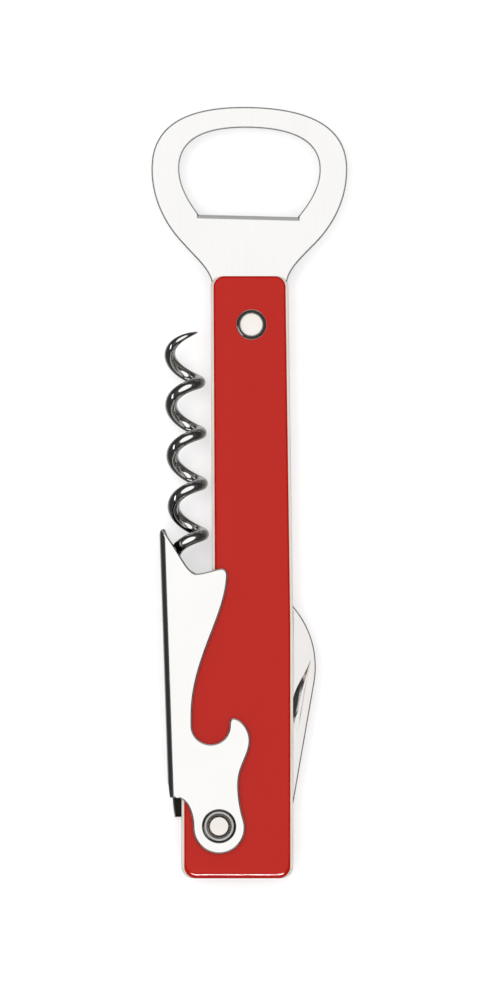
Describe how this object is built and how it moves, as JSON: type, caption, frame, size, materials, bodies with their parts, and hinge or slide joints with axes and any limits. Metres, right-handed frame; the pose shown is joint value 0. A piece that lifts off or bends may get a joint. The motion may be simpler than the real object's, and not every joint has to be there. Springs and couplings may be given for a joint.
{
  "type": "waiters corkscrew",
  "caption": "Flat pocket corkscrew with a ring cap opener, slim two-scale handle, folding boot lever, pivoting wire worm and folding foil knife.",
  "frame": {"origin": "middle of the underside of the bounding box, with the tool lying flat on its back", "axes": "+Y along the handle towards the opener ring, +Z out of the front face, +X to the side where the knife folds"},
  "size_m": [0.0392, 0.1543, 0.0128],
  "materials": {
    "red_scale": "glossy red moulded plastic with rounded edges",
    "plate_steel": "satin stamped steel",
    "liner_steel": "plain sheared steel",
    "blade_steel": "finely ground bright steel",
    "bright_steel": "polished bright steel"
  },
  "bodies": {
    "handle": {"opener_plate": "plate_steel", "front_liner": "liner_steel", "back_liner": "liner_steel", "front_scale": "red_scale", "back_scale": "red_scale", "back_spring": "plate_steel", "head_rivet": "bright_steel", "shank_pin": "bright_steel", "spring_pin_upper": "bright_steel", "spring_pin_lower": "bright_steel", "worm_pin": "bright_steel", "knife_pin": "bright_steel", "knife_washer_front": "plate_steel", "knife_washer_back": "plate_steel", "lever_rivet": "bright_steel", "lever_washer_front": "bright_steel", "lever_washer_back": "bright_steel", "lever_bush": "plate_steel"},
    "lever_body": {"lever": "blade_steel"},
    "worm_body": {"worm": "bright_steel"},
    "knife_body": {"knife_blade": "blade_steel"}
  },
  "joints": [
    {"name": "lever_fold", "type": "hinge", "parent": "handle", "child": "lever_body", "pos_m": [-0.00606, -0.06665, 0.0064], "axis": [0, 0, 1], "range_deg": [0, 135]},
    {"name": "worm_fold", "type": "hinge", "parent": "handle", "child": "worm_body", "pos_m": [-0.01, -0.02875, 0.0064], "axis": [0, 0, 1], "range_deg": [0, 90]},
    {"name": "knife_fold", "type": "hinge", "parent": "handle", "child": "knife_body", "pos_m": [0.0031, -0.06795, 0.0064], "axis": [0, 0, 1], "range_deg": [-170, 0]}
  ],
  "couplings": [
    {"joint": "worm_fold", "follows": "lever_fold", "ratio": 0.6666}
  ]
}
